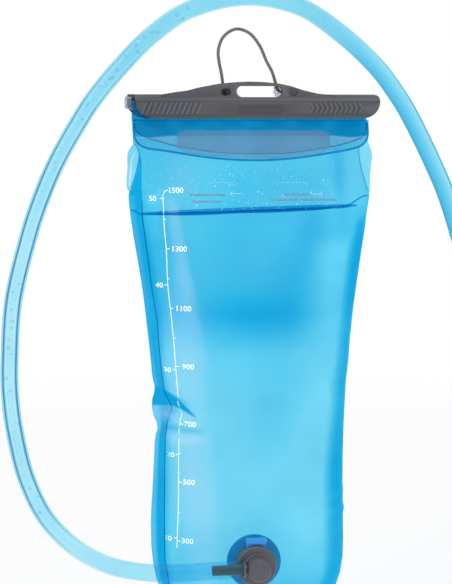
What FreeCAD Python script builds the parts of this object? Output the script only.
import FreeCAD, Part
import math
import os
import Sketcher
from FreeCAD import Placement, Rotation, Vector

# Hydration bladder: a roll-top film reservoir hung from a slide-on closure bar, with a
# drinking tube on a quick-connect port. Millimetres, +X right, +Y to the back, +Z up.
# Modelled with X = 0 at the bag's mid-width and Y = Z = 0 on the closure bar's centre.
# Every finished piece is then shifted so that the origin is the hang slot's centre.

doc = FreeCAD.newDocument("hydration_bladder")

DIMS = [
    # closure bar
    ("bar_left", -85.0), ("bar_right", 91.5), ("bar_end_wall", 3.5), ("bar_half_depth", 6.5),
    ("bar_top", 7.3), ("bar_bottom", -9.3), ("bar_round_top", 4.5), ("bar_round_bottom", 1.6),
    ("cavity_rad", 4.8), ("slit_half", 2.6), ("rod_z", -0.6),
    ("plate_front", -6.4), ("plate_back", 1.6),
    ("slot_left", -10.0), ("slot_right", 22.4), ("slot_bottom", 5.4), ("slot_top", 13.0),
    ("hang_x", -17.6), ("hang_z", 8.9), ("hang_rad", 2.2), ("hang_mouth_half", 3.5),
    ("hang_floor", 2.6), ("recess_x", 29.7), ("recess_rad", 3.0), ("recess_depth", 0.6),
    ("lug_z", 9.0), ("lug_y", 3.6), ("lug_rad", 1.5), ("lug_out", 2.4),
    ("lug_left", -24.0), ("lug_right", 25.6), ("lug_len", 3.0),
    # rod and folded film
    ("rod_rad", 3.2), ("rod_left", -83.4), ("rod_right", 85.0), ("rod_round", 2.2),
    ("knob_rad", 4.5), ("knob_rise", 2.3), ("knob_left", -87.0), ("knob_len", 4.4),
    ("knob_round", 1.8),
    ("film_in_rad", 3.35), ("film_out_rad", 4.0), ("film_fold", 0.5), ("fold_half_width", 82.3),
    # reservoir
    ("bag_mid", 0.8), ("film", 0.7), ("weld", 6.0), ("flange_half", 0.5),
    ("bag_top", -10.5), ("bag_bottom", -362.0),
    # flap
    ("flap_hinge_y", -1.9), ("flap_hinge_z", -10.9), ("flap_slope", 18.0),
    ("lip", 0.6), ("lip_gap", 0.1), ("tab_half", 53.5), ("tab_top", -7.5), ("tab_low", -27.0),
    # port
    ("port_z", -318.0), ("flange_rad", 19.0), ("socket_rad", 9.0), ("head_rad", 14.0),
    ("plug_rad", 5.0), ("plug_clear", 0.06), ("chamber_rad", 7.2),
    # tube and cord
    ("tube_y", -42.0), ("tube_rad", 6.0), ("tube_bore", 3.6), ("end_x", 156.0), ("end_z", -190.0),
    ("cord_rad", 1.3), ("cord_y", 3.6),
]
VALUE = dict(DIMS)
sheet = doc.addObject("Spreadsheet::Sheet", "Dims")
for row, (alias, value) in enumerate(DIMS, 1):
    sheet.set("A%d" % row, alias)
    sheet.set("B%d" % row, str(value))
    sheet.setAlias("B%d" % row, alias)
doc.recompute()


# ---- sizes ---------------------------------------------------------------------------
class Size:
    """A number together with the spreadsheet formula that gives it."""

    def __init__(self, value, formula):
        self.value = float(value)
        self.formula = formula

    def __add__(self, other):
        other = size(other)
        return Size(self.value + other.value, "(%s + %s)" % (self.formula, other.formula))

    def __radd__(self, other):
        return size(other) + self

    def __sub__(self, other):
        other = size(other)
        return Size(self.value - other.value, "(%s - %s)" % (self.formula, other.formula))

    def __rsub__(self, other):
        return size(other) - self

    def __mul__(self, other):
        other = size(other)
        return Size(self.value * other.value, "(%s * %s)" % (self.formula, other.formula))

    def __rmul__(self, other):
        return size(other) * self

    def __neg__(self):
        return Size(-self.value, "(0 - %s)" % self.formula)


def size(x):
    if isinstance(x, Size):
        return x
    return Size(x, "%.6f" % x if x >= 0 else "(0 - %.6f)" % -x)


def dim(name):
    return Size(VALUE[name], "Dims." + name)


# ---- placing -------------------------------------------------------------------------
PIECES = []
SHIFT_X = -(dim("slot_left") + dim("slot_right")) * 0.5
SHIFT_Z = -(dim("slot_bottom") + dim("slot_top")) * 0.5


def place(obj, base, rotation=Rotation()):
    base = [size(c) for c in base]
    obj.Placement = Placement(Vector(*[c.value for c in base]), rotation)
    for axis, c in zip("xyz", base):
        obj.setExpression(".Placement.Base." + axis, c.formula)


def finish(piece, base=(0, 0, 0), angle=0.0):
    """Place a finished piece, turned about X, with the common shift; list it for export."""
    x, y, z = base
    angle = size(angle)
    place(piece, (x + SHIFT_X, y, z + SHIFT_Z), Rotation(Vector(1, 0, 0), angle.value))
    if angle.value:
        piece.setExpression(".Placement.Rotation.Angle", angle.formula)
    PIECES.append(piece)


# ---- sketches ------------------------------------------------------------------------
# Sketch axes and normal: XY_Plane (x, y) facing +Z; YZ_Plane (y, z) facing +X;
# XZ_Plane (x, z) facing the front, -Y. A lift moves the sketch along its normal.
def new_body(label):
    return doc.addObject("PartDesign::Body", label)


def origin(body, role):
    return next(f for f in body.Origin.OriginFeatures if f.Role == role)


def bind(drawing, kind, args, target):
    drawing.addConstraint(Sketcher.Constraint(kind, *args, target.value))
    drawing.setExpression("Constraints[%d]" % (drawing.ConstraintCount - 1), target.formula)


def pin(drawing, geo, pos, x, y):
    """Fix a point of the sketch; a zero coordinate puts it on the sketch's axis."""
    for kind, axis, c in (("DistanceX", -2, x), ("DistanceY", -1, y)):
        if abs(c.value) < 1e-9:
            drawing.addConstraint(Sketcher.Constraint("PointOnObject", geo, pos, axis))
        else:
            bind(drawing, kind, (-1, 1, geo, pos), c)


def add_arc(drawing, start, mid, end):
    """Add an arc; return its number and which of its points are the start and end."""
    centre = Part.Arc(start, mid, end).toShape().Curve.Center
    # arcs always run counter-clockwise in a sketch
    forward = (mid - start).cross(end - mid).z > 0
    first, last = (start, end) if forward else (end, start)
    angle_0 = math.atan2(first.y - centre.y, first.x - centre.x)
    angle_1 = math.atan2(last.y - centre.y, last.x - centre.x)
    if angle_1 <= angle_0:
        angle_1 += 2 * math.pi
    circle = Part.Circle(centre, Vector(0, 0, 1), (start - centre).Length)
    geo = drawing.addGeometry(Part.ArcOfCircle(circle, angle_0, angle_1), False)
    return (geo, 1, 2) if forward else (geo, 2, 1)


def add_circle(drawing, x, y, radius):
    circle = Part.Circle(Vector(x.value, y.value, 0), Vector(0, 0, 1), radius.value)
    geo = drawing.addGeometry(circle, False)
    bind(drawing, "Radius", (geo,), radius)
    pin(drawing, geo, 3, x, y)


def add_outline(drawing, points):
    ends, centres = [], []
    for i, point in enumerate(points):
        after = points[(i + 1) % len(points)]
        start = Vector(point[0].value, point[1].value, 0)
        end = Vector(after[0].value, after[1].value, 0)
        if len(point) == 2:
            ends.append((drawing.addGeometry(Part.LineSegment(start, end), False), 1, 2))
            continue
        mid = Vector(point[2].value, point[3].value, 0)
        ends.append(add_arc(drawing, start, mid, end))
        geo, radius = ends[-1][0], point[4]
        if abs((end - start).Length - 2 * radius.value) > 1e-6:
            bind(drawing, "Radius", (geo,), radius)
        # a half circle is fixed by its centre, level with its ends
        elif abs(start.x - end.x) < 1e-9:
            centres.append(("DistanceX", geo, point[0]))
        else:
            centres.append(("DistanceY", geo, point[1]))
    for i, point in enumerate(points):
        geo, start, _ = ends[i]
        before, _, stop = ends[i - 1]
        pin(drawing, geo, start, point[0], point[1])
        drawing.addConstraint(Sketcher.Constraint("Coincident", geo, start, before, stop))
    for kind, geo, c in centres:
        bind(drawing, kind, (-1, 1, geo, 3), c)


def sketch(body, name, role, loops, lift=None):
    """A fully dimensioned sketch. A loop is ("circle", x, y, radius) or a list of corners;
    a corner (x, y, mid_x, mid_y, radius) starts an arc through the given mid point."""
    drawing = body.newObject("Sketcher::SketchObject", name)
    drawing.AttachmentSupport = [(origin(body, role), "")]
    drawing.MapMode = "FlatFace"
    if lift is not None:
        lift = size(lift)
        drawing.AttachmentOffset = Placement(Vector(0, 0, lift.value), Rotation())
        drawing.setExpression(".AttachmentOffset.Base.z", lift.formula)
    for loop in loops:
        if loop[0] == "circle":
            add_circle(drawing, *[size(c) for c in loop[1:]])
        else:
            add_outline(drawing, [[size(c) for c in point] for point in loop])
    return drawing


def pill(left, right, bottom, top):
    """An outline with straight level sides and half-round ends."""
    mid = (bottom + top) * 0.5
    half = (top - bottom) * 0.5
    return [(left + half, bottom), (right - half, bottom, right, mid, half),
            (right - half, top), (left + half, top, left, mid, half)]


# ---- features ------------------------------------------------------------------------
def prism(kind, body, name, profile, length, both=False, back=False):
    feature = body.newObject(kind, name)
    feature.Profile = profile
    length = size(length)
    feature.Length = length.value
    feature.setExpression("Length", length.formula)
    if both:
        feature.SideType = "Symmetric"
    feature.Reversed = back
    return feature


def pad(*args, **options):
    """Grows along the sketch's normal, or against it with back=True."""
    return prism("PartDesign::Pad", *args, **options)


def pocket(*args, **options):
    """Cuts against the sketch's normal, or along it with back=True."""
    return prism("PartDesign::Pocket", *args, **options)


AROUND_Y = "XY_Plane"   # half-profile points are (radius, y)
AROUND_Z = "XZ_Plane"   # half-profile points are (radius, z)


def turned(label, role, points):
    """A body of revolution about its local axis, from one closed half-profile."""
    body = new_body(label)
    profile = sketch(body, label + "_profile", role, [points])
    feature = body.newObject("PartDesign::Revolution", label + "_turn")
    feature.Profile = profile
    feature.ReferenceAxis = (profile, ["V_Axis"])
    feature.Angle = 360.0
    return body


def polar_row(body, name, feature, axis, count):
    pattern = body.newObject("PartDesign::PolarPattern", name)
    pattern.Originals = [feature]
    pattern.Axis = (origin(body, axis), [""])
    pattern.Angle = 360.0
    pattern.Occurrences = count
    body.Tip = pattern


def round_circles(body, name, feature, radius, picked):
    """Fillet the circular edges of the feature for which picked(edge) holds."""
    doc.recompute()
    fillet = body.newObject("PartDesign::Fillet", name)
    fillet.Base = (feature, ["Edge%d" % i for i, edge in enumerate(feature.Shape.Edges, 1)
                             if isinstance(edge.Curve, Part.Circle) and picked(edge)])
    fillet.Radius = radius.value
    fillet.setExpression("Radius", radius.formula)


def primitive(kind, name, **values):
    obj = doc.addObject(kind, name)
    for key, value in values.items():
        value = size(value)
        setattr(obj, key, value.value)
        obj.setExpression(key, value.formula)
    return obj


def boolean(kind, name, base, tool):
    obj = doc.addObject("Part::" + kind, name)
    obj.Base = base
    obj.Tool = tool
    return obj


def spline(points):
    curve = Part.BSplineCurve()
    curve.interpolate(points)
    return curve


def upright_sketch(name, y, curves):
    """Free curves drawn in (x, z) at depth y."""
    drawing = doc.addObject("Sketcher::SketchObject", name)
    place(drawing, (0, y, 0), Rotation(Vector(1, 0, 0), 90))
    for curve in curves:
        drawing.addGeometry(curve, False)
    return drawing


def path(name, points, y):
    return upright_sketch(name, y, [spline([Vector(x, z, 0) for x, z in points])])


def sweep(name, spine, radius, base, direction):
    """A round section, set at base and facing direction, swept along the spine."""
    circle = primitive("Part::Circle", name + "_circle", Radius=radius)
    place(circle, base, Rotation(Vector(0, 0, 1), direction))
    obj = doc.addObject("Part::Sweep", name)
    obj.Sections = [circle]
    obj.Spine = (spine, ["Edge1"])
    obj.Solid = True
    obj.Frenet = False
    return obj


def coil(name, radius, wire, height, turns):
    """A wire spring rising along Z, on a smooth curve through points of the helix."""
    steps = int(turns * 12)
    turn = 2 * math.pi * turns
    curve = spline([Vector(radius * math.cos(turn * i / steps),
                           radius * math.sin(turn * i / steps),
                           height * i / steps) for i in range(steps + 1)])
    line = doc.addObject("Part::Feature", name + "_line")
    line.Shape = curve.toShape()
    return sweep(name, line, wire, (radius, 0, 0), curve.tangent(curve.FirstParameter)[0])


def oring(label, ring_rad, wire_rad, base, angle=0.0):
    ring = primitive("Part::Torus", label, Radius1=ring_rad, Radius2=wire_rad)
    finish(ring, base, angle)


# ---- closure bar: C channel with an arched carry handle ------------------------------
HALF_DEPTH, TOP, BOTTOM = dim("bar_half_depth"), dim("bar_top"), dim("bar_bottom")
BELOW = BOTTOM - 1    # cuts that open downward start here
ROD_Z = dim("rod_z")
IN_FRONT = 8.0        # distance of the front cuts' sketches before the bar's centre
SLOPE_AT_HANG = 5.2   # the sloping face's distance before the centre, at hang_z
BAR_THROUGH = 16      # symmetric cut through the bar's whole depth

# (x, z)
ARCH = [
    (-62.0, 4.0), (58.5, 4.0), (58.5, 6.8), (47.0, 7.8), (36.0, 10.4), (28.5, 12.9),
    (19.8, 14.8), (9.0, 15.8), (-1.0, 16.1), (-12.0, 15.6), (-22.6, 14.5), (-34.8, 12.2),
    (-44.0, 9.9), (-53.3, 8.6), (-62.0, 7.1),
]
MOUTH = [
    (-90.0, BELOW), (-70.5, BELOW), (-70.5, -8.6), (-76.4, -5.9), (-79.6, -0.7),
    (-80.9, 8.5), (-90.0, 8.5),
]
BACK_CORNER = [
    (-90.0, BELOW), (-73.0, BELOW), (-73.0, -9.2), (-78.2, -7.9), (-81.6, -5.6),
    (-83.9, -2.9), (-85.2, 0.4), (-90.0, 0.4),
]
CLOSED_END = [
    (79.0, BELOW), (95.0, BELOW), (95.0, 8.0), (87.2, 8.0), (87.2, 7.2), (89.2, 6.7),
    (90.4, 5.2), (90.9, 3.0), (90.7, 0.2), (89.7, -2.8), (88.0, -5.3), (85.6, -7.3),
    (82.6, -8.7), (79.0, -9.4),
]
RIDGE = [(-76.5, -6.4), (-75.6, -6.4), (-72.0, 1.8), (-72.9, 1.8)]
CHEVRON = [(41.0, -5.6), (41.9, -5.6), (44.0, -2.1), (41.9, 1.4), (41.0, 1.4), (43.1, -2.1)]
# (y, z)
HANDLE_SLOPE = [(-9.0, 3.0), (-6.5, 3.0), (-3.2, 18.0), (-9.0, 18.0)]


def bar_solid(bar):
    plate_back = dim("plate_back")
    outline = sketch(bar, "handle_outline", "XZ_Plane", [ARCH], lift=-plate_back)
    pad(bar, "handle", outline, plate_back - dim("plate_front"))
    # the handle's front runs into the channel's front face without a ledge
    section = sketch(bar, "slope_section", "YZ_Plane", [HANDLE_SLOPE], lift=-70.0)
    pocket(bar, "handle_slope", section, 140.0, back=True)

    left, length = dim("bar_left"), dim("bar_right") - dim("bar_left")
    upper, lower = dim("bar_round_top"), dim("bar_round_bottom")
    inset = 1 - math.sqrt(0.5)   # of a round corner's middle, per unit of radius
    outer = [
        (-HALF_DEPTH + lower, BOTTOM),
        (HALF_DEPTH - lower, BOTTOM, HALF_DEPTH - inset * lower, BOTTOM + inset * lower, lower),
        (HALF_DEPTH, BOTTOM + lower),
        (HALF_DEPTH, TOP - upper, HALF_DEPTH - inset * upper, TOP - inset * upper, upper),
        (HALF_DEPTH - upper, TOP),
        (-HALF_DEPTH + upper, TOP, -HALF_DEPTH + inset * upper, TOP - inset * upper, upper),
        (-HALF_DEPTH, TOP - upper),
        (-HALF_DEPTH, BOTTOM + lower, -HALF_DEPTH + inset * lower, BOTTOM + inset * lower, lower),
    ]
    section = sketch(bar, "channel_section", "YZ_Plane", [outer], lift=left)
    pad(bar, "channel", section, length)
    # round cavity for the rod, open below through a slit
    radius, slit = dim("cavity_rad"), dim("slit_half")
    foot = ROD_Z - math.sqrt(radius.value ** 2 - slit.value ** 2)
    cavity = [(-slit, BELOW), (slit, BELOW), (slit, foot, 0, ROD_Z + radius, radius),
              (-slit, foot)]
    section = sketch(bar, "cavity_section", "YZ_Plane", [cavity], lift=left)
    pocket(bar, "rod_cavity", section, length - dim("bar_end_wall"), back=True)


def bar_openings(bar):
    slot = pill(dim("slot_left"), dim("slot_right"), dim("slot_bottom"), dim("slot_top"))
    outline = sketch(bar, "slot_outline", "XZ_Plane", [slot])
    pocket(bar, "hang_slot", outline, BAR_THROUGH, both=True)

    x, z, radius = dim("hang_x"), dim("hang_z"), dim("hang_rad")
    outline = sketch(bar, "hole_outline", "XZ_Plane", [("circle", x, z, radius)])
    pocket(bar, "hang_hole", outline, 30, both=True)
    # the hole's front mouth is a deep oval, wider than it is tall
    half_width, half_height = dim("hang_mouth_half"), radius + 0.2
    oval = pill(x - half_width, x + half_width, z - half_height, z + half_height)
    oval_lift = 9.0
    outline = sketch(bar, "mouth_oval", "XZ_Plane", [oval], lift=oval_lift)
    pocket(bar, "hang_mouth", outline, oval_lift - dim("hang_floor"))
    # and a shallow groove in the channel's top keeps its back end clear
    groove_half, low, high = 3.4, 6.3, 8.6
    groove = [(x - groove_half, low), (x + groove_half, low), (x + groove_half, high),
              (x - groove_half, high)]
    outline = sketch(bar, "groove_outline", "XZ_Plane", [groove], lift=-dim("plate_back"))
    pocket(bar, "hang_groove", outline, 8.0)

    # round recess sunk in the sloping face
    circle = ("circle", dim("recess_x"), z, dim("recess_rad"))
    outline = sketch(bar, "recess_outline", "XZ_Plane", [circle], lift=IN_FRONT)
    pocket(bar, "round_recess", outline, IN_FRONT - SLOPE_AT_HANG + dim("recess_depth"))
    # plain pill-shaped panel, sunk a little in the front wall
    panel = pill(-9.5, 22.5, -6.2, -0.6)
    outline = sketch(bar, "panel_outline", "XZ_Plane", [panel], lift=HALF_DEPTH)
    pocket(bar, "blank_panel", outline, 0.35)


def bar_ends(bar):
    # the front wall is cut back at the open left end, so the folded film can be fed in
    outline = sketch(bar, "mouth_outline", "XZ_Plane", [MOUTH], lift=IN_FRONT)
    pocket(bar, "mouth", outline, 7.0)
    # the back wall's lower corner is cut away too
    outline = sketch(bar, "corner_outline", "XZ_Plane", [BACK_CORNER], lift=1.2)
    pocket(bar, "back_corner", outline, 12.0)
    # room for the rod's end knob
    circle = ("circle", 0, ROD_Z + dim("knob_rise"), dim("knob_rad") + 0.4)
    outline = sketch(bar, "knob_room_circle", "YZ_Plane", [circle], lift=dim("bar_left") - 1.0)
    pocket(bar, "knob_room", outline, 3.6, back=True)
    # rounded closed end on the right
    outline = sketch(bar, "end_outline", "XZ_Plane", [CLOSED_END])
    pocket(bar, "end_round", outline, BAR_THROUGH, both=True)


def bar_lugs(bar):
    """Bored lugs behind the handle that hold the cord's ends."""
    y, z, out = dim("lug_y"), dim("lug_z"), dim("lug_out")
    length = dim("lug_len")
    root = dim("plate_back") - 0.8   # sunk into the handle's back
    overrun = 0.2                    # of the bore at each end
    lug = [(root, z - out), (y, z - out, y + out, z, out), (y, z + out), (root, z + out)]
    bore = ("circle", y, z, dim("lug_rad"))
    for side in ("left", "right"):
        x = dim("lug_" + side)
        section = sketch(bar, "lug_section_" + side, "YZ_Plane", [lug], lift=x - length * 0.5)
        pad(bar, "lug_" + side, section, length)
        section = sketch(bar, "lug_circle_" + side, "YZ_Plane", [bore],
                         lift=x + length * 0.5 + overrun)
        pocket(bar, "lug_bore_" + side, section, length + 2 * overrun)


def ridge_row(bar, name, outline, count, pitch):
    """Finger ridges on the front wall, repeated to the right."""
    sunk, depth = 0.05, 0.45
    drawing = sketch(bar, name + "_outline", "XZ_Plane", [outline], lift=HALF_DEPTH - sunk)
    ridge = pad(bar, name, drawing, depth)
    pattern = bar.newObject("PartDesign::LinearPattern", name + "_row")
    pattern.Originals = [ridge]
    pattern.Direction = (origin(bar, "X_Axis"), [""])
    pattern.Length = pitch * (count - 1)
    pattern.Occurrences = count
    bar.Tip = pattern


closure_bar = new_body("closure_bar")
bar_solid(closure_bar)
bar_openings(closure_bar)
bar_ends(closure_bar)
bar_lugs(closure_bar)
ridge_row(closure_bar, "ridge", RIDGE, count=12, pitch=3.45)
ridge_row(closure_bar, "chevron", CHEVRON, count=11, pitch=3.43)
finish(closure_bar)


# ---- sealing rod, with a knob on its left end ----------------------------------------
def sealing_rod():
    rod = new_body("sealing_rod")
    left, radius = dim("rod_left"), dim("knob_rad")
    section = sketch(rod, "rod_circle", "YZ_Plane", [("circle", 0, 0, dim("rod_rad"))], lift=left)
    shaft = pad(rod, "rod_bar", section, dim("rod_right") - left)
    round_circles(rod, "rod_ends", shaft, dim("rod_round"), lambda edge: True)

    left = dim("knob_left")
    section = sketch(rod, "knob_circle", "YZ_Plane", [("circle", 0, dim("knob_rise"), radius)],
                     lift=left)
    knob = pad(rod, "end_knob", section, dim("knob_len"))
    # only the knob's outer, left rim is rounded
    round_circles(rod, "knob_ends", knob, dim("knob_round"),
                  lambda edge: abs(edge.Curve.Radius - radius.value) < 1e-6
                  and edge.CenterOfMass.x < left.value + 0.1)
    finish(rod, (0, 0, ROD_Z))


sealing_rod()


# ---- folded film over the rod --------------------------------------------------------
def fold(label, inner, back_y, front_y):
    """One film layer: up behind the rod, over it and down in front, as one bent strip.
    Heights are measured from the rod's centre."""
    body = new_body(label)
    outer, half = inner + dim("film_fold"), dim("film_fold") * 0.5
    cos, sin = 0.5, math.sqrt(0.75)   # the bend ends 60 degrees below level
    back_z, front_z = -10.6, BOTTOM - 0.5 - ROD_Z
    strip = [
        (back_y + half, back_z),
        (outer * cos, -outer * sin, 0, outer, outer), (-outer * cos, -outer * sin),
        (front_y - half, front_z), (front_y + half, front_z),
        (-inner * cos, -inner * sin, 0, inner, inner), (inner * cos, -inner * sin),
        (back_y - half, back_z),
    ]
    section = sketch(body, label + "_section", "YZ_Plane", [strip])
    pad(body, label + "_strip", section, dim("fold_half_width") * 2, both=True)
    place(body, (0, 0, ROD_Z))
    return body


fold_inner = fold("fold_inner", dim("film_in_rad"), back_y=0.25, front_y=-1.0)
fold_outer = fold("fold_outer", dim("film_out_rad"), back_y=1.45, front_y=-1.75)

# ---- reservoir: two films welded round the edge --------------------------------------
# (height, half width over the weld, half thickness of the filled bag)
STATIONS = [
    (VALUE["bag_top"], 82.6, 1.35), (-17.0, 82.9, 2.6), (-26.0, 84.0, 4.6), (-38.0, 86.0, 8.0),
    (-52.0, 86.0, 12.4), (-66.0, 85.0, 16.0), (-80.0, 83.1, 18.6), (-107.0, 79.0, 21.4),
    (-135.0, 75.2, 22.8), (-163.0, 71.8, 23.4), (-192.0, 69.3, 23.8), (-235.0, 67.8, 24.0),
    (-277.0, 68.3, 23.6), (-306.0, 68.5, 22.4), (-328.0, 67.0, 19.4), (-344.0, 63.0, 14.0),
    (-354.0, 57.0, 7.6),
]
# the weld's outline below the last full-width station: (x, z)
RIM_FOOT = [(57.5, -354.5), (48.0, -360.5), (36.0, VALUE["bag_bottom"])]


def pillow(name, skin, first_z, last_z):
    """The filled bag inside the weld, shrunk by skin, with its own end heights."""
    heights = [first_z] + [z for z, _, _ in STATIONS[1:-1]] + [last_z]
    rings = []
    for i, (z, (_, half_width, half_thick)) in enumerate(zip(heights, STATIONS)):
        ring = primitive("Part::Ellipse", "%s_ring_%02d" % (name, i),
                         MajorRadius=half_width - dim("weld") - skin,
                         MinorRadius=half_thick - size(skin))
        place(ring, (0, dim("bag_mid"), z))
        rings.append(ring)
    loft = doc.addObject("Part::Loft", name)
    loft.Sections = rings
    loft.Solid = True
    loft.Ruled = False
    return loft


def rim_plate():
    """The flat weld plate, before the bag's inside is cut from it."""
    right = [Vector(x, z, 0) for x, z in [s[:2][::-1] for s in STATIONS[:-1]] + RIM_FOOT]
    left = [Vector(-v.x, v.y, 0) for v in right]
    outline = upright_sketch("rim_outline", dim("bag_mid"), [
        spline(right), spline(left),
        Part.LineSegment(right[-1], left[-1]), Part.LineSegment(right[0], left[0])])
    rim = doc.addObject("Part::Extrusion", "rim_plate")
    rim.Base = outline
    rim.DirMode = "Normal"
    rim.Solid = True
    rim.Symmetric = True
    thick = dim("flange_half") * 2
    rim.LengthFwd = thick.value
    rim.setExpression("LengthFwd", thick.formula)
    return rim


def reservoir():
    outside = pillow("pillow_outer", 0, STATIONS[0][0], STATIONS[-1][0])
    inside = pillow("pillow_inner", dim("film"), -9.0, -353.4)
    full = boolean("Fuse", "films_full", outside, rim_plate())
    films = boolean("Cut", "films", full, inside)

    opening = primitive("Part::Cylinder", "port_opening", Radius=dim("flange_rad") + 0.08,
                        Height=40)
    place(opening, (0, 0, dim("port_z")), Rotation(Vector(1, 0, 0), 90))

    # boxes before and behind the weld's mid plane part the two films
    width, depth, height, box_bottom = 200, 40, 380, -375
    mid = dim("bag_mid")
    for label, box_y, folded in (("front_panel", mid - depth, fold_inner),
                                 ("rear_panel", mid, fold_outer)):
        side = primitive("Part::Box", label + "_side", Length=width, Width=depth, Height=height)
        place(side, (-width / 2, box_y, box_bottom))
        film = boolean("Common", label + "_film", films, side)
        if label == "front_panel":
            film = boolean("Cut", label + "_open", film, opening)
        finish(boolean("Fuse", label, film, folded))


reservoir()

# ---- flap: the films' free ends, folded down in front --------------------------------
# right halves of the outlines, (x, z) from the hinge
REAR_LIP = [(82.3, 0.0), (82.3, -10.5), (80.4, -17.5), (77.4, -21.0), (70.0, -22.6),
            (52.4, -24.8), (25.7, -28.0), (0.0, -29.2)]
FRONT_LIP = [(81.6, 0.0), (81.6, -8.0), (79.8, -11.0), (73.2, -14.8), (66.0, -17.2),
             (52.2, -20.2), (25.6, -23.9), (0.0, -24.9)]


def flap_sheet(label, name, outline, lift, thick):
    """A flat sheet hanging from the hinge, its foot swung out to the front."""
    body = new_body(label)
    pad(body, name + "_sheet", sketch(body, name + "_outline", "XZ_Plane", [outline], lift=lift),
        thick)
    finish(body, (0, dim("flap_hinge_y"), dim("flap_hinge_z")), angle=-dim("flap_slope"))


def lip(label, half, lift):
    outline = half + [(-x, z) for x, z in reversed(half[:-1])]
    flap_sheet(label, label, outline, lift, dim("lip"))


def pull_tab():
    half, top, low = dim("tab_half"), dim("tab_top"), dim("tab_low")
    corner, end_rise, belly_x = 3, 3.5, 26.0
    outline = [
        (-half + corner, top), (-half, top - corner), (-half, low + end_rise),
        (-belly_x, low - 0.6), (0, low - 1.4), (belly_x, low - 0.6),
        (half, low + end_rise), (half, top - corner), (half - corner, top),
    ]
    flap_sheet("pull_tab", "tab", outline, dim("lip") * 2 + dim("lip_gap") * 2, 0.5)


lip("front_panel_lip", FRONT_LIP, 0)
lip("rear_panel_lip", REAR_LIP, dim("lip") + dim("lip_gap"))
pull_tab()

# ---- cord loop -----------------------------------------------------------------------
LUG_HEIGHT = VALUE["lug_z"]
# centre-line, (x, z), from the left knot over the top to the right knot
CORD = [
    (-27.6, LUG_HEIGHT), (-24.0, LUG_HEIGHT), (-22.5, LUG_HEIGHT + 0.08),
    (-21.2, LUG_HEIGHT + 1.3), (-20.4, LUG_HEIGHT + 3.8), (-20.0, LUG_HEIGHT + 7.0),
    (-19.9, LUG_HEIGHT + 13), (-21.2, 30.0), (-21.6, 38.0), (-18.0, 47.0), (-9.5, 52.2),
    (0.0, 49.5), (7.2, 41.0), (12.0, 30.5), (16.0, 23.0), (18.6, LUG_HEIGHT + 6),
    (19.9, LUG_HEIGHT + 2.0), (22.4, LUG_HEIGHT), (25.6, LUG_HEIGHT), (29.2, LUG_HEIGHT),
]


def hang_cord():
    y, z = dim("cord_y"), dim("lug_z")
    parts = [sweep("cord_run", path("cord_path", CORD, y), dim("cord_rad"),
                   (CORD[0][0], y, z), Vector(1, 0, 0))]
    for side, x in (("left", -28.2), ("right", 29.8)):
        knot = primitive("Part::Sphere", "knot_" + side, Radius=1.9)
        place(knot, (x, y, z))
        parts.append(knot)
    cord = doc.addObject("Part::MultiFuse", "hang_cord")
    cord.Shapes = parts
    finish(cord)


hang_cord()

# ---- port: pieces on a Y axis through the port's centre ------------------------------
PORT = (0, 0, dim("port_z"))
SOCKET, CHAMBER, PLUG = dim("socket_rad"), dim("chamber_rad"), dim("plug_rad")
FLANGE, HEAD = dim("flange_rad"), dim("head_rad")
LATCH_HALF, LATCH_FRONT, LATCH_THICK, LATCH_TOP = 7.0, 31.4, 1.8, 15.9
LATCH_GAP = 0.1   # before and behind the latch plate

finish(turned("port_flange", AROUND_Y, [
    (SOCKET + 0.05, -19.0), (FLANGE, -19.0), (FLANGE, -21.6), (12.5, -22.8), (12.5, -25.9),
    (SOCKET + 0.05, -25.9),
]), PORT)


def port_socket():
    bore = PLUG + dim("plug_clear")
    socket = turned("port_socket", AROUND_Y, [
        (SOCKET, -9.0), (SOCKET, -26.0), (HEAD - 1, -26.0), (HEAD, -27.0), (HEAD, -34.0),
        (HEAD - 1, -35.0), (bore, -35.0), (bore, -22.0), (CHAMBER, -22.0), (CHAMBER, -9.0),
    ])
    half = LATCH_HALF + 0.06
    guide = [(-half, -11.9), (half, -11.9), (half, 20), (-half, 20)]
    outline = sketch(socket, "latch_slot_outline", "XZ_Plane", [guide],
                     lift=LATCH_FRONT + LATCH_GAP)
    pocket(socket, "latch_slot", outline, LATCH_THICK + 2 * LATCH_GAP)
    finish(socket, PORT)


def valve_cage():
    rim = CHAMBER - 0.04
    cage = turned("valve_cage", AROUND_Y, [(1.9, -11.5), (rim, -11.5), (rim, -10.0), (1.9, -10.0)])
    outline = sketch(cage, "flow_circle", "XZ_Plane", [("circle", 4.5, 0, 1.2)])
    hole = pocket(cage, "flow_hole", outline, 30, both=True)
    polar_row(cage, "flow_ring", hole, "Y_Axis", 6)
    finish(cage, PORT)


port_socket()
valve_cage()
finish(turned("valve_poppet", AROUND_Y, [
    (0, -21.3), (2.4, -21.3), (3.0, -20.7), (3.0, -18.5), (6.4, -18.5), (6.4, -16.9),
    (1.8, -16.9), (1.8, -8.0), (0, -8.0),
]), PORT)
finish(turned("poppet_seal", AROUND_Y, [
    (4.9, -19.25), (6.3, -19.25), (6.3, -18.51), (4.9, -18.51),
]), PORT)


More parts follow.
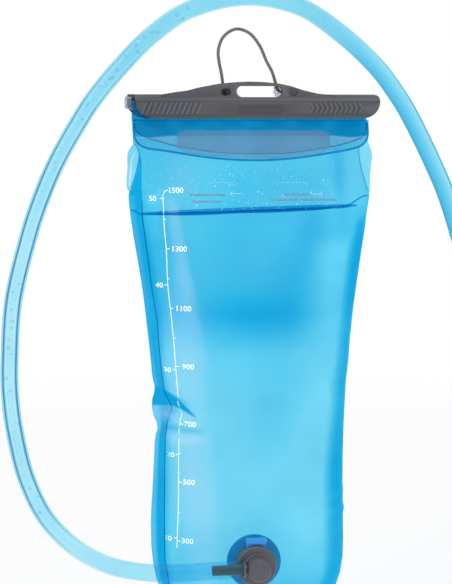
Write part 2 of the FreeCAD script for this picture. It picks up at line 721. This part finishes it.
def release_button():
    """A latch plate with a long window round the plug, and a thumb pad on its top."""
    latch = new_body("release_button")
    frame = [(-LATCH_HALF, -7.6), (LATCH_HALF, -7.6), (LATCH_HALF, LATCH_TOP),
             (-LATCH_HALF, LATCH_TOP)]
    radius, low, high = PLUG + 0.2, -0.05, 2.0
    window = [(-radius, low), (-radius, high, 0, radius + high, radius),
              (radius, high), (radius, low, 0, low - radius, radius)]
    outline = sketch(latch, "latch_outline", "XZ_Plane", [frame, window], lift=LATCH_FRONT)
    pad(latch, "latch_plate", outline, LATCH_THICK, back=True)
    thumb = [(-6.2, -34.2), (6.2, -34.2), (7.2, -33.2), (7.2, -28.0), (6.2, -27.0),
             (-6.2, -27.0), (-7.2, -28.0), (-7.2, -33.2)]   # (x, y)
    outline = sketch(latch, "thumb_outline", "XY_Plane", [thumb], lift=LATCH_TOP)
    pad(latch, "thumb_pad", outline, 2.6)
    finish(latch, PORT)


def button_springs():
    springs = []
    for suffix, x in (("a", -4.0), ("b", 4.0)):
        spring = coil("button_spring_" + suffix, radius=0.62, wire=0.17, height=3.6, turns=5)
        place(spring, (x, -30.5, -11.65))
        springs.append(spring)
    pair = doc.addObject("Part::Compound", "button_springs")
    pair.Links = springs
    finish(pair, PORT)


release_button()
finish(coil("valve_spring", radius=3.3, wire=0.35, height=4.3, turns=3.5),
       (0, -16.5, dim("port_z")), angle=-90)
button_springs()
finish(turned("connector_plug", AROUND_Y, [
    (2.6, -21.4), (4.6, -21.4), (PLUG, -21.8), (PLUG, -25.0), (3.9, -25.0), (3.9, -27.0),
    (PLUG, -27.0), (PLUG, -29.4), (4.2, -29.4), (4.2, -31.6), (PLUG, -31.6), (PLUG, -35.2),
    (8.6, -35.2), (9.2, -35.8), (9.2, -36.9), (8.6, -37.4), (4.4, -37.4), (4.4, -39.0),
    (3.7, -39.0), (3.7, -40.2), (4.4, -40.2), (4.4, -45.6), (2.6, -45.6),
]), PORT)
oring("plug_oring", 4.46, 0.53, (0, -26.0, dim("port_z")), angle=90)
oring("elbow_oring", 4.06, 0.34, (0, -39.6, dim("port_z")), angle=90)

TUBE_Y = dim("tube_y")


def hose_elbow():
    spigot = 4.46
    elbow = turned("hose_elbow", AROUND_Y, [
        (spigot, -37.6), (7.6, -37.6), (8.2, -38.2), (8.2, -46.6), (7.0, -48.2), (0, -48.2),
        (0, -46.2), (spigot, -46.2),
    ])

    def across(name, radius, lift):
        return sketch(elbow, name, "YZ_Plane", [("circle", TUBE_Y, 0, radius)], lift=lift)

    # the barb runs out to the left
    pad(elbow, "barb", across("barb_circle", 3.5, -6.0), 26.0, back=True)
    pad(elbow, "collar", across("collar_circle", 5.6, -9.5), 1.4, back=True)
    pocket(elbow, "barb_bore", across("barb_bore_circle", 2.3, -1.0), 34.0)
    # clear the plug's room again
    outline = sketch(elbow, "spigot_room_circle", "XZ_Plane", [("circle", 0, 0, spigot)],
                     lift=37.0)
    pocket(elbow, "spigot_room", outline, 9.2, back=True)
    finish(elbow, PORT)


hose_elbow()

# ---- drinking tube -------------------------------------------------------------------
PORT_HEIGHT = VALUE["port_z"]
# centre-line, (x, z), from the elbow up the left side, over the top and down the right
TUBE = [
    (-11.0, PORT_HEIGHT), (-20.0, PORT_HEIGHT), (-34.0, PORT_HEIGHT), (-55.0, -318.6),
    (-80.0, -317.0), (-104.0, -311.0), (-126.0, -298.0), (-145.3, -277.2), (-157.7, -250.7),
    (-164.4, -223.3), (-168.0, -196.1), (-168.3, -169.1), (-165.2, -128.9), (-155.4, -89.1),
    (-146.6, -62.7), (-135.1, -36.4), (-120.0, -10.1), (-109.4, 5.7), (-92.7, 25.4),
    (-72.0, 46.0), (-46.0, 63.0), (-10.0, 71.5), (26.0, 65.5), (55.0, 47.5), (79.1, 26.0),
    (94.8, 5.9), (104.7, -10.2), (118.6, -37.3), (130.6, -64.7), (143.5, -106.0),
    (152.5, -148.0), (155.6, -172.0), (156.0, -182.0), (VALUE["end_x"], VALUE["end_z"]),
]
tube_path = path("tube_path", TUBE, TUBE_Y)
tube_outside, tube_inside = [
    sweep(name, tube_path, dim(radius), (TUBE[0][0], TUBE_Y, PORT_HEIGHT), Vector(-1, 0, 0))
    for name, radius in (("tube_outside", "tube_rad"), ("tube_inside", "tube_bore"))]
finish(boolean("Cut", "drink_tube", tube_outside, tube_inside))

# ---- mouthpiece, hanging from the tube's end: pieces on a Z axis ---------------------
END = (dim("end_x"), TUBE_Y, dim("end_z"))
HOLE_PAIR = [("circle", 2.0, 0, 1.2), ("circle", -2.0, 0, 1.2)]


def cut_up(body, name, loops, lift, length):
    outline = sketch(body, name + "_outline", "XY_Plane", loops, lift=lift)
    pocket(body, name, outline, length, back=True)


shutoff_body = turned("shutoff_body", AROUND_Z, [
    (2.3, 12.0), (2.9, 12.0), (3.35, 10.0), (3.4, -0.4), (7.4, -0.4), (7.4, -2.2), (6.0, -2.2),
    (6.0, -7.0), (5.1, -7.0), (5.1, -8.4), (6.0, -8.4), (6.0, -14.0), (0, -14.0), (0, -12.0),
    (2.4, -9.6),
])
cut_up(shutoff_body, "face_ports", HOLE_PAIR, lift=-15.0, length=6.0)
finish(shutoff_body, END)
oring("shutoff_oring", 5.57, 0.42, (dim("end_x"), TUBE_Y, dim("end_z") - 7.7))


def shutoff_collar():
    collar = turned("shutoff_collar", AROUND_Z, [
        (6.06, -2.4), (8.8, -2.4), (9.5, -3.1), (9.5, -13.0), (8.4, -15.0), (5.0, -16.6),
        (5.0, -29.0), (3.8, -29.0), (3.8, -16.2), (0, -16.2), (0, -14.06), (6.06, -14.06),
    ])
    cut_up(collar, "plate_ports", HOLE_PAIR, lift=-17.0, length=4.0)
    rib = [(9.2, -0.7), (10.1, -0.5), (10.1, 0.5), (9.2, 0.7)]
    outline = sketch(collar, "grip_rib_outline", "XY_Plane", [rib], lift=-12.5)
    polar_row(collar, "grip_ribs", pad(collar, "grip_rib", outline, 8.8), "Z_Axis", 14)
    finish(collar, END)


shutoff_collar()
bite_valve = turned("bite_valve", AROUND_Z, [
    (5.06, -17.4), (7.6, -17.4), (8.0, -18.0), (8.0, -29.0), (6.4, -34.0), (6.2, -38.0),
    (7.0, -44.0), (7.4, -49.0), (6.6, -53.0), (4.0, -55.4), (0, -56.2), (0, -53.8),
    (3.4, -52.6), (4.6, -49.0), (4.4, -44.0), (4.0, -38.0), (4.2, -34.0), (5.06, -30.0),
])
SLIT = [(-3.0, -0.12), (3.0, -0.12), (3.0, 0.12), (-3.0, 0.12)]
cut_up(bite_valve, "slit", [SLIT], lift=-60.0, length=9.0)
finish(bite_valve, END)
finish(turned("dust_cover", AROUND_Z, [
    (8.3, -20.0), (9.6, -20.0), (9.8, -20.6), (9.6, -54.0), (8.6, -58.4), (5.0, -60.6),
    (0, -61.2), (0, -59.6), (4.6, -59.0), (7.4, -57.2), (8.3, -53.8),
]), END)

# ---- check and export ----------------------------------------------------------------
doc.recompute()

problems = ["%s: %s" % (obj.Name, obj.State) for obj in doc.Objects
            if "Invalid" in obj.State or "Error" in obj.State]
for piece in PIECES:
    shape = piece.Shape
    if shape.isNull() or not shape.isValid() or not shape.Solids:
        problems.append("%s has no sound solid" % piece.Label)
    elif any(solid.Volume < 1e-3 for solid in shape.Solids):
        problems.append("%s has an empty solid" % piece.Label)
if problems:
    raise RuntimeError("; ".join(problems))

os.makedirs("parts", exist_ok=True)
for piece in PIECES:
    piece.Shape.exportStep("parts/%s.step" % piece.Label)
